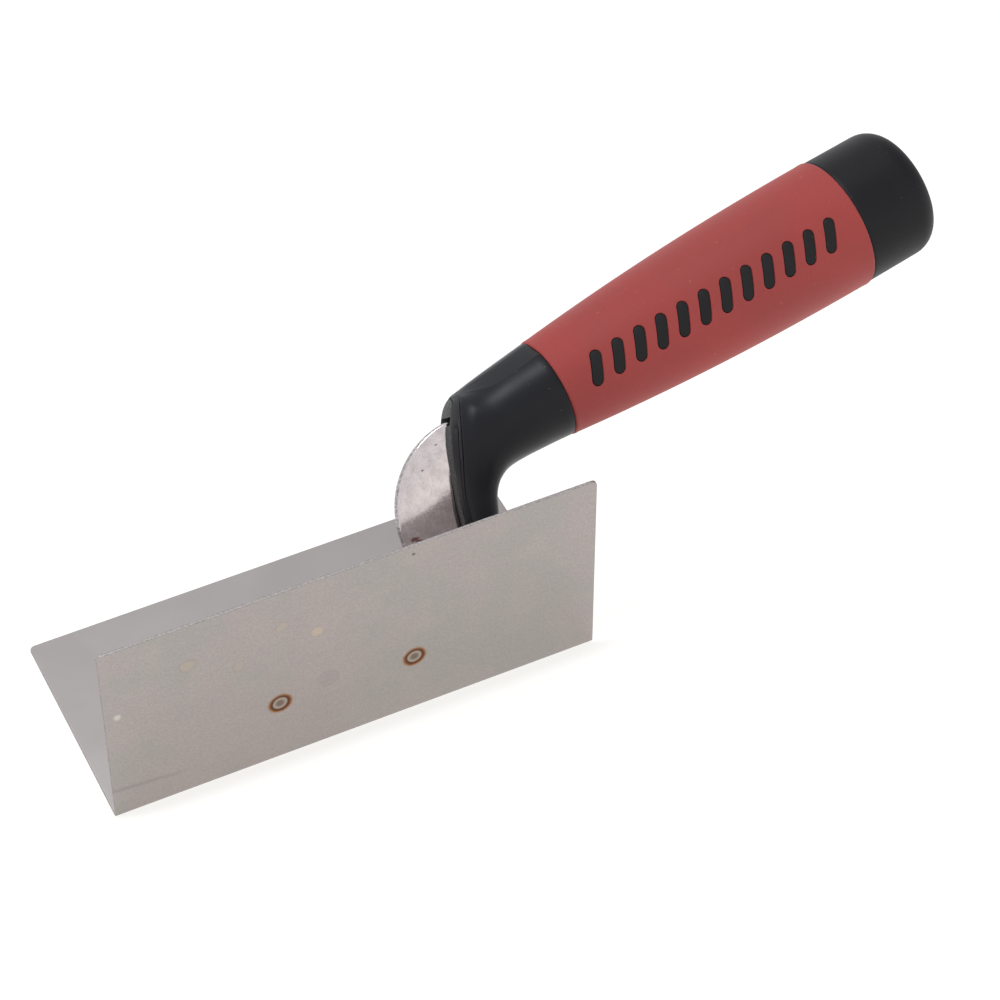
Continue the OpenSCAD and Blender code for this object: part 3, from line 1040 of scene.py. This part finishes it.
class Shader:
    """A material's node tree, with short calls to add and join nodes."""

    def __init__(self, name):
        self.material = bpy.data.materials.new(name)
        self.material.use_nodes = True
        self.nodes = self.material.node_tree.nodes
        self.links = self.material.node_tree.links
        self.bsdf = self.nodes["Principled BSDF"]
        self.place = self.add("ShaderNodeTexCoord").outputs["Object"]

    def add(self, kind, **settings):
        node = self.nodes.new(kind)
        for key, value in settings.items():
            setattr(node, key, value)
        return node

    def feed(self, socket, value):
        """Links a socket to another, or sets its value."""
        if isinstance(value, bpy.types.NodeSocket):
            self.links.new(value, socket)
        else:
            socket.default_value = value

    def math(self, operation, *values):
        node = self.add("ShaderNodeMath", operation=operation)
        for socket, value in zip(node.inputs, values):
            self.feed(socket, value)
        return node.outputs[0]

    def times(self, a, b):
        return self.math("MULTIPLY", a, b)

    def vector(self, operation, a, b):
        node = self.add("ShaderNodeVectorMath", operation=operation)
        self.feed(node.inputs[0], a)
        self.feed(node.inputs[1], b)
        return node.outputs["Value" if operation == "DISTANCE" else 0]

    def xyz(self, source=None):
        """The three parts of a vector, the object's own place unless source is given."""
        node = self.add("ShaderNodeSeparateXYZ")
        self.feed(node.inputs[0], source or self.place)
        return node.outputs

    def stretch(self, scale, source=None, turn=(0, 0, 0), move=(0, 0, 0)):
        node = self.add("ShaderNodeMapping")
        self.feed(node.inputs["Vector"], source or self.place)
        set_inputs(node, Location=move, Rotation=turn, Scale=scale)
        return node.outputs[0]

    def noise(self, scale, detail=2.0, rough=0.5, source=None):
        node = self.add("ShaderNodeTexNoise")
        self.feed(node.inputs["Vector"], source or self.place)
        set_inputs(node, Scale=scale, Detail=detail, Roughness=rough)
        return node.outputs["Fac"]

    def span(self, value, lo, hi, out_lo=0.0, out_hi=1.0):
        """Smooth step from out_lo to out_hi as value goes from lo to hi."""
        node = self.add("ShaderNodeMapRange", interpolation_type="SMOOTHSTEP")
        self.feed(node.inputs["Value"], value)
        set_inputs(node, From_Min=lo, From_Max=hi, To_Min=out_lo, To_Max=out_hi)
        return node.outputs[0]

    def mix(self, fac, a, b):
        node = self.add("ShaderNodeMix", data_type="RGBA")
        self.feed(node.inputs[0], fac)
        for socket, value in zip((node.inputs[6], node.inputs[7]), (a, b)):
            self.feed(socket, (*value, 1.0) if isinstance(value, tuple) else value)
        return node.outputs[2]

    def over(self, colour, top, value, lo, hi, share=1.0):
        """Colour with up to a share of top laid over it as value goes from lo to hi."""
        return self.mix(self.span(value, lo, hi, 0, share), colour, top)

    def mottled(self, tone, low, high, value):
        """A tone that a noise value varies between low and high times itself."""
        return self.mix(self.span(value, 0.35, 0.65), scaled(tone, low), scaled(tone, high))

    def ramp(self, value, stops):
        node = self.add("ShaderNodeValToRGB")
        self.feed(node.inputs[0], value)
        ramp = node.color_ramp
        while len(ramp.elements) < len(stops):
            ramp.elements.new(0.5)
        for element, (at, colour) in zip(ramp.elements, stops):
            element.position = at
            element.color = (*colour, 1.0)
        return node.outputs[0]

    def bump(self, height, strength, distance, normal=None):
        """A bumped normal, distance in millimetres."""
        node = self.add("ShaderNodeBump")
        set_inputs(node, Strength=strength, Distance=distance * MM)
        self.feed(node.inputs["Height"], height)
        if normal is not None:
            self.feed(node.inputs["Normal"], normal)
        return node.outputs[0]

    def finish(self, colour, roughness, normal, **fixed):
        self.feed(self.bsdf.inputs["Base Color"], colour)
        self.feed(self.bsdf.inputs["Roughness"], roughness)
        self.feed(self.bsdf.inputs["Normal"], normal)
        set_inputs(self.bsdf, **fixed)
        return self.material


def above_bend(s):
    """Height above the two wings' outer faces where they meet, in metres."""
    return s.math("SUBTRACT", s.xyz()[2], WING_Z * MM)


def outer_face(s):
    """Mask of the right wing's outer face, against its inner one."""
    inward = s.math("ADD", above_bend(s), s.xyz()[1])
    return s.span(inward, 0.6 * MM, 0.4 * MM)


def inner_face(s):
    """Mask of both wings' inner faces."""
    inward = s.math("SUBTRACT", above_bend(s), s.math("ABSOLUTE", s.xyz()[1]))
    return s.span(inward, 0.4 * MM, 0.6 * MM)


def drag_mark(s):
    """Mask of a faint rubbed line near the corner edge, which dies out along the wing."""
    x, y, z = s.xyz()
    up = s.times(s.math("SUBTRACT", z, y), 1 / ROOT2 / MM)
    line = s.math("MULTIPLY_ADD", x, -0.1 / MM, 2.6)
    line = s.math("ADD", line, s.times(s.noise(110, 2), 1.2))
    off = s.math("ABSOLUTE", s.math("SUBTRACT", up, line))
    return s.times(s.span(off, 1.1, 0.1, 0, 0.42), s.span(x, -38 * MM, -56 * MM))


def spot_distance(s, depth):
    """Distance in metres to the nearest weld spot, at a depth inside the outer faces."""
    found = None
    for side in (-1, 1):
        for x, up in SPOTS:
            centre = scaled(on_wing(side, x, up, depth), MM)
            d = s.vector("DISTANCE", s.place, centre)
            found = d if found is None else s.math("MINIMUM", found, d)
    return found


def stains_and_painted_shade(s, colour, tone):
    """Colour with painted shade on the blade's inner faces, its stains and its drag mark."""
    # Painted shade: both wings' inner faces, inside the V, darkened to 0.87 of the tone
    colour = s.mix(inner_face(s), colour, scaled(tone, 0.87))
    outside = outer_face(s)
    for x, up, size, tint, power in STAINS:
        centre = scaled(on_wing(-1, x, up, 0), MM)
        size *= MM
        wobble = s.math("MULTIPLY_ADD", s.noise(420, 3), 1.1, 0.45)
        d = s.times(s.vector("DISTANCE", s.place, centre), wobble)
        colour = s.mix(s.times(s.span(d, size, size * 0.35, 0, power), outside), colour, tint)
        ring = s.span(d, size * 0.6, size * 0.8, 0, power * 0.35)
        ring = s.times(s.span(d, size * 0.98, size * 0.85), ring)
        colour = s.mix(s.times(ring, outside), colour, scaled(tint, 0.62))
    return s.mix(s.times(drag_mark(s), outside), colour, scaled(tone, 0.6))


def rolled_steel(name, tone, depth, stains_and_shade, ends, up_max):
    """Dull cold-rolled stainless sheet: temper-coloured weld spots, faint stains, painted shade
    inside the V.
    """
    s = Shader(name)
    cloud = s.noise(36, 4, 0.6)
    patch = s.noise(110, 3, 0.6, s.stretch((1, 1, 1), move=(3, 1, 2)))
    grain = s.noise(1, 2, 0.6, s.stretch((60, 1300, 1300)))
    fine = s.noise(1900, 3, 0.75)
    pit = s.noise(1300, 1, 0.5)
    warm, cool = scaled(tone, (1.03, 0.985, 0.985)), scaled(tone, (0.955, 0.985, 0.965))
    colour = s.mix(s.span(cloud, 0.38, 0.62), warm, cool)
    colour = s.over(colour, scaled(tone, (1.05, 1.03, 0.99)), patch, 0.5, 0.72, 0.6)
    colour = s.over(colour, scaled(tone, 0.8), grain, 0.3, 0.7, 0.07)
    colour = s.over(colour, scaled(tone, 0.7), fine, 0.62, 0.38, 0.42)
    colour = s.over(colour, scaled(tone, 0.55), pit, 0.74, 0.8, 0.4)
    if stains_and_shade:
        colour = stains_and_painted_shade(s, colour, tone)
    roughness = s.span(cloud, 0.35, 0.65, 0.29, 0.36)
    wobble = s.math("MULTIPLY_ADD", s.noise(900, 2), 0.12, 0.94)
    d = s.times(s.times(spot_distance(s, depth), wobble), 1 / (SPOT_R * MM))
    colour = s.mix(s.span(d, 0.88, 0.7), colour, s.ramp(d, WELD_MARK))
    roughness = s.math("ADD", roughness, s.span(d, 0.7, 0.5, 0, 0.12))
    rim = sheet_rim(s, ends, up_max)
    tear = s.noise(1700, 3, 0.7)
    torn = s.mix(s.span(tear, 0.35, 0.65), (0.27, 0.25, 0.25), (0.4, 0.365, 0.345))
    colour = s.mix(rim, colour, torn)
    roughness = s.math("ADD", roughness, s.times(rim, 0.2))
    normal = s.bump(fine, 0.1, 0.03, s.bump(grain, 0.12, 0.04))
    return s.finish(colour, roughness, normal, Metallic=1.0)


def sheet_rim(s, ends, up_max):
    """Mask of a bent sheet's sheared edges."""
    x, y, _ = s.xyz()
    up = s.times(s.math("ADD", s.math("ABSOLUTE", y), above_bend(s)), 1 / ROOT2 / MM)
    middle = (ends[0] + ends[1]) / 2
    along = s.times(s.math("ABSOLUTE", s.math("SUBTRACT", x, middle * MM)), 1 / MM)
    half = (ends[1] - ends[0]) / 2
    top = s.span(up, up_max - 0.2, up_max - 0.09)
    return s.math("MAXIMUM", top, s.span(along, half - 0.2, half - 0.09))


# Weld print from its centre outwards, as shares of SPOT_R
WELD_MARK = [
    (0.0, (0.19, 0.145, 0.115)),
    (0.22, (0.235, 0.175, 0.14)),
    (0.31, (0.35, 0.3, 0.26)),
    (0.42, (0.4, 0.35, 0.3)),
    (0.5, (0.15, 0.065, 0.036)),
    (0.58, (0.12, 0.05, 0.026)),
    (0.67, (0.26, 0.11, 0.05)),
    (0.76, (0.36, 0.22, 0.12)),
]

# Stains on the wing: X, height up the wing, size (mm), colour, strength
STAINS = [
    (-42.3, 44.8, 2.4, (0.47, 0.385, 0.3), 0.55),
    (-29.7, 38.4, 2.0, (0.46, 0.385, 0.31), 0.4),
    (-18.1, 47.0, 1.9, (0.48, 0.4, 0.33), 0.45),
    (-9.7, 40.8, 2.2, (0.56, 0.45, 0.35), 0.6),
    (-60.2, 35.8, 1.3, (0.6, 0.58, 0.52), 0.8),
    (-7.3, 22.6, 3.2, (0.33, 0.29, 0.3), 0.35),
    (15.6, 55.7, 0.5, (0.1, 0.09, 0.09), 0.85),
]


def ground_steel(name):
    """Coarsely tumbled plate: cloudy and crazed on its faces, torn along its edges."""
    s = Shader(name)
    x, y, z = s.xyz(s.vector("SUBTRACT", s.place, scaled(GRIND_CENTRE, MM)))
    radius = s.math("SQRT", s.math("ADD", s.math("POWER", x, 2.0), s.math("POWER", z, 2.0)))
    polar = s.add("ShaderNodeCombineXYZ")
    s.feed(polar.inputs[0], s.times(radius, 1600))
    s.feed(polar.inputs[1], s.times(s.math("ARCTAN2", z, x), 8))
    s.feed(polar.inputs[2], s.times(y, 300))
    scratch = s.noise(1, 3, 0.65, polar.outputs[0])
    cloud = s.noise(420, 4, 0.7)
    blotch = s.noise(70, 3, 0.5)
    fine = s.noise(1500, 3, 0.7)
    craze = s.noise(1300, 4, 0.8)
    colour = s.mottled((0.595, 0.535, 0.53), 0.86, 1.05, cloud)
    colour = s.over(colour, (0.45, 0.4, 0.41), blotch, 0.55, 0.75, 0.3)
    colour = s.over(colour, (0.78, 0.73, 0.72), craze, 0.54, 0.66, 0.5)
    colour = s.over(colour, (0.4, 0.34, 0.33), scratch, 0.44, 0.3, 0.38)
    colour = s.over(colour, (0.16, 0.13, 0.13), fine, 0.66, 0.74, 0.55)
    # Darker and browner towards the plate's foot: weld tint, and a painted reflection of the
    # shaded wing
    weld_tint_and_painted_reflection = s.math("MULTIPLY_ADD", s.noise(160, 3), 4 * MM, s.xyz()[2])
    colour = s.over(colour, (0.3, 0.22, 0.16), weld_tint_and_painted_reflection, 19 * MM, 12 * MM, 0.75)
    streak = (0.6, 0, 1.4)
    for speck_x, speck_z, size in PLATE_RUST:
        size *= MM
        centre = scaled((speck_x, 0, speck_z), scaled(streak, MM))
        d = s.vector("DISTANCE", s.stretch(streak), centre)
        d = s.times(d, s.math("MULTIPLY_ADD", s.noise(1200, 2), 1.2, 0.4))
        colour = s.over(colour, (0.16, 0.05, 0.035), d, size, size * 0.5, 0.8)
    facing = s.xyz(s.add("ShaderNodeNewGeometry").outputs["Normal"])
    rim = s.span(s.math("ABSOLUTE", facing[1]), 0.75, 0.45)
    tear = s.noise(1, 3, 0.7, s.stretch((1500, 220, 1500)))
    torn = s.mix(s.span(tear, 0.35, 0.65), (0.2, 0.18, 0.18), (0.5, 0.46, 0.46))
    colour = s.mix(rim, colour, torn)
    roughness = s.math("ADD", s.span(craze, 0.35, 0.65, 0.07, 0.14), s.times(rim, 0.22))
    normal = s.bump(craze, 0.16, 0.03, s.bump(scratch, 0.1, 0.04))
    normal = s.bump(s.times(rim, tear), 0.5, 0.1, normal)
    return s.finish(colour, roughness, normal, Metallic=1.0)


# Centre of the plate's grinding marks, which run in arcs
GRIND_CENTRE = (88, 0, 12)

# Rust specks on the plate's face: X, Z and size (mm)
PLATE_RUST = [(27.6, 38.6, 0.9), (28.6, 37.8, 0.7), (34.9, 53.9, 0.35), (40.2, 58.8, 0.3)]

# Tints along a weld bead
WELD_TINTS = [
    (0.25, (0.16, 0.15, 0.19)),
    (0.45, (0.34, 0.27, 0.22)),
    (0.6, (0.45, 0.35, 0.22)),
    (0.8, (0.5, 0.46, 0.42)),
]


def weld_metal(name):
    """Bare weld: straw and blue-brown tints that follow the ripples."""
    s = Shader(name)
    band = s.noise(1, 3, 0.6, s.stretch((500, 160, 160)))
    spatter = s.noise(1500, 2, 0.6)
    colour = s.over(s.ramp(band, WELD_TINTS), (0.08, 0.06, 0.05), spatter, 0.66, 0.75, 0.8)
    roughness = s.span(band, 0.3, 0.7, 0.3, 0.5)
    return s.finish(colour, roughness, s.bump(spatter, 0.35, 0.08), Metallic=1.0)


def moulded_black(name, tone, rough, shine, pit, nose=None):
    """Black elastomer or hard plastic, with a fine mould texture, dust and light scuffs.

    nose is a second tone for the rough strip on the neck's front.
    """
    s = Shader(name)
    cloud = s.noise(45, 3, 0.55)
    speck = s.noise(3200, 2, 0.7)
    tilted = s.stretch((1, 1, 1), turn=(0, TILT, 0))
    scuff = s.noise(1, 4, 0.7, s.stretch((130, 1500, 1500), tilted))
    grit = s.noise(1250, 1, 0.5)
    colour = s.mottled(tone, 0.85, 1.15, cloud)
    if nose:
        paler = s.mottled(nose, 0.7, 1.3, speck)
        colour = s.over(colour, paler, s.xyz()[0], GRIP_X * MM, HEEL_X * MM)
    colour = s.over(colour, (0.05, 0.05, 0.055), scuff, 0.66, 0.78, 0.3)
    colour = s.over(colour, (0.12, 0.12, 0.125), grit, 0.76, 0.82, 0.5)
    roughness = s.span(cloud, 0.35, 0.65, rough - 0.03, rough + 0.04)
    roughness = s.math("ADD", roughness, s.span(scuff, 0.6, 0.78, 0, 0.12))
    normal = s.bump(s.noise(700, 2, 0.5), pit * 0.5, 0.06, s.bump(speck, pit, 0.05))
    return s.finish(colour, roughness, normal, Metallic=0.0, Specular_IOR_Level=shine)


def soft_red(name):
    """Brick-red elastomer: matt, finely grained, with dark flecks and rubbed patches."""
    s = Shader(name)
    tone = (0.285, 0.04, 0.036)
    cloud = s.noise(38, 4, 0.55)
    grain = s.noise(2400, 3, 0.7)
    colour = s.mottled(tone, 0.93, 1.06, cloud)
    colour = s.over(colour, scaled(tone, 0.78), grain, 0.35, 0.65, 0.25)
    colour = s.over(colour, (0.14, 0.02, 0.018), s.noise(1500, 1, 0.5), 0.7, 0.78, 0.45)
    colour = s.over(colour, (0.42, 0.16, 0.14), s.noise(800, 1, 0.5), 0.74, 0.8, 0.35)
    fixed = {"Metallic": 0.0, "Specular_IOR_Level": 0.28, "Sheen_Weight": 0.22}
    fixed |= {"Sheen_Roughness": 0.5, "Sheen_Tint": (1.0, 0.4, 0.37, 1)}
    roughness = s.span(cloud, 0.35, 0.65, 0.56, 0.66)
    return s.finish(colour, roughness, s.bump(grain, 0.3, 0.06), **fixed)


# ---- stage, light and camera ----

CAM_TARGET = Vector((51.98, 0, 40.63)) * MM
CAM_DISTANCE = 878.9 * MM
CAM_AZIMUTH = math.radians(17.295)
CAM_ELEVATION = math.radians(4.894)
CAM_ROLL = math.radians(17.946)
CAM_LENS = 128.3
CAM_SENSOR = 36

FLOOR_HALF = 40.0
FLOOR_Z = -0.4 * MM
LIGHT_PLACE = Vector((-0.08, -0.66, 1.1))
LIGHT_AIM = Vector((0.06, 0, 0.05))
LIGHT_SIZE = 0.4
LIGHT_POWER = 5.2
DIM_SIDE = Vector((0.95, -0.12, 0.28)).normalized()


def make_floor():
    e = FLOOR_HALF
    me = bpy.data.meshes.new("floor")
    me.from_pydata([(-e, -e, 0), (e, -e, 0), (e, e, 0), (-e, e, 0)], [], [(0, 1, 2, 3)])
    ob = linked("floor", me)
    ob.location.z = FLOOR_Z
    mat = bpy.data.materials.new("floor_white")
    mat.use_nodes = True
    bsdf = mat.node_tree.nodes["Principled BSDF"]
    set_inputs(bsdf, Base_Color=(0.3, 0.3, 0.3, 1), Roughness=0.9, Specular_IOR_Level=0.1)
    set_inputs(bsdf, Emission_Color=(1.0, 0.985, 0.955, 1), Emission_Strength=0.78)
    me.materials.append(mat)


def make_world():
    """Even white studio, a little darker off to one side."""
    world = bpy.data.worlds.new("studio")
    world.use_nodes = True
    nodes, links = world.node_tree.nodes, world.node_tree.links
    back = nodes["Background"]
    set_inputs(back, Color=(0.965, 0.975, 1.0, 1))
    place = nodes.new("ShaderNodeTexCoord")
    dot = nodes.new("ShaderNodeVectorMath")
    dot.operation = "DOT_PRODUCT"
    dot.inputs[1].default_value = DIM_SIDE
    fade = nodes.new("ShaderNodeMapRange")
    fade.interpolation_type = "SMOOTHSTEP"
    set_inputs(fade, From_Min=0.35, From_Max=0.95, To_Min=1.05, To_Max=0.5)
    links.new(place.outputs["Generated"], dot.inputs[0])
    links.new(dot.outputs["Value"], fade.inputs["Value"])
    links.new(fade.outputs[0], back.inputs["Strength"])
    bpy.context.scene.world = world


def make_light():
    data = bpy.data.lights.new("overhead", "AREA")
    data.shape = "RECTANGLE"
    data.size = data.size_y = LIGHT_SIZE
    data.energy = LIGHT_POWER
    data.color = (0.9, 0.95, 1.0)
    ob = linked("overhead", data)
    ob.location = LIGHT_PLACE
    ob.rotation_mode = "QUATERNION"
    ob.rotation_quaternion = (LIGHT_AIM - LIGHT_PLACE).to_track_quat("-Z", "Y")


def make_camera():
    data = bpy.data.cameras.new("camera")
    data.lens = CAM_LENS
    data.sensor_width = CAM_SENSOR
    data.clip_start, data.clip_end = 0.05, 100
    ob = linked("camera", data)
    level = Vector((math.cos(CAM_AZIMUTH), -math.sin(CAM_AZIMUTH), 0))
    ahead = Vector((math.sin(CAM_AZIMUTH), math.cos(CAM_AZIMUTH), 0))
    look = ahead * math.cos(CAM_ELEVATION) - Vector((0, 0, math.sin(CAM_ELEVATION)))
    above = level.cross(look)
    right = level * math.cos(CAM_ROLL) - above * math.sin(CAM_ROLL)
    up = above * math.cos(CAM_ROLL) + level * math.sin(CAM_ROLL)
    turn = Matrix((right, up, -look)).transposed().to_4x4()
    ob.matrix_world = Matrix.Translation(CAM_TARGET - look * CAM_DISTANCE) @ turn
    bpy.context.scene.camera = ob


# ---- the scene ----

bpy.context.scene.view_settings.view_transform = "Standard"

blade_steel = rolled_steel(
    "blade_steel", (0.43, 0.393, 0.383), 0, True, (-HEEL_X, HEEL_X), WING_W
)
saddle_steel = rolled_steel(
    "saddle_steel", (0.42, 0.385, 0.378), STACK_T, False, (saddle_lo.x, saddle_hi.x), SADDLE_W
)
plate_steel = ground_steel("plate_steel")
weld = weld_metal("weld_metal")
core_plastic = moulded_black(
    "core_plastic", (0.009, 0.0085, 0.0095), 0.55, 0.2, 0.5, nose=(0.074, 0.072, 0.072)
)
boot_rubber = moulded_black("boot_rubber", (0.0052, 0.0053, 0.0078), 0.36, 0.22, 0.2)
cap_rubber = moulded_black("cap_rubber", (0.006, 0.0055, 0.007), 0.48, 0.2, 0.25)
grip_rubber = soft_red("grip_rubber")

place("blade_sheet", make_blade(), "blade", "blade_steel", blade_steel)
place("saddle_sheet", make_saddle(), "saddle", "saddle_steel", saddle_steel)
place("plate_body", make_plate(), "shank_plate", "plate_steel", plate_steel)
place("weld_ripples", make_beads(), "weld_beads", "weld_metal", weld)
place("core_body", make_core(), "handle_core", "core_plastic", core_plastic)
place("boot_skin", make_boot(), "neck_boot", "boot_rubber", boot_rubber)
place("sleeve_skin", make_sleeve(), "grip_sleeve", "grip_rubber", grip_rubber)
place("cap_body", make_cap(), "end_cap", "cap_rubber", cap_rubber)

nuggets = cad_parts["spot_welds"]
nuggets.data.materials.clear()
nuggets.data.materials.append(weld)

make_floor()
make_world()
make_light()
make_camera()
